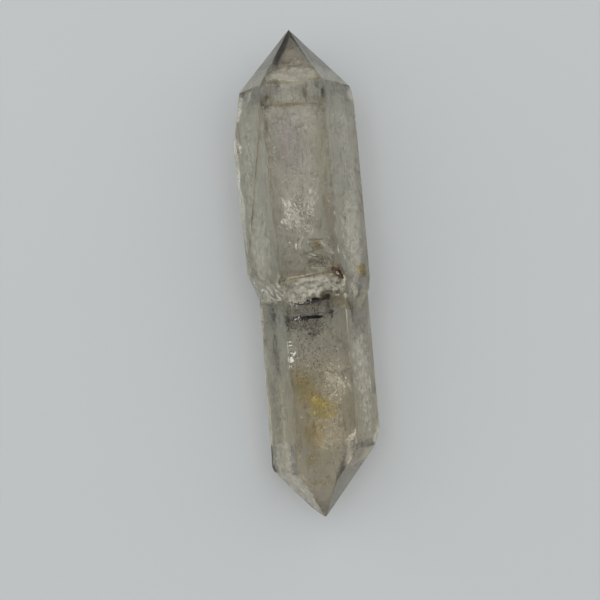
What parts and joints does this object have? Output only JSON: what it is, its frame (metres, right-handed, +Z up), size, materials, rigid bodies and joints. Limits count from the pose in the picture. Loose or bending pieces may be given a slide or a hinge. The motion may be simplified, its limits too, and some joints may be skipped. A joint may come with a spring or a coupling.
{
  "type": "double terminated quartz crystal",
  "caption": "Natural clear quartz crystal lying on one long face: a broad six-sided prism joined end to end with a slimmer one, each closed by a sharp point.",
  "frame": {"origin": "middle of the crystal's box, on the surface that it lies on", "axes": "+Y along the crystal's long axis towards the broad crystal's point, +Z up from the face that it rests on, +X across"},
  "size_m": [0.0168, 0.065, 0.0143],
  "materials": {
    "quartz": "see-through pale smoky quartz with bright flat faces, fine growth lines, white veils inside and a few dark and yellow stains"
  },
  "bodies": {
    "root": {"quartz_crystal": "quartz"}
  },
  "joints": []
}
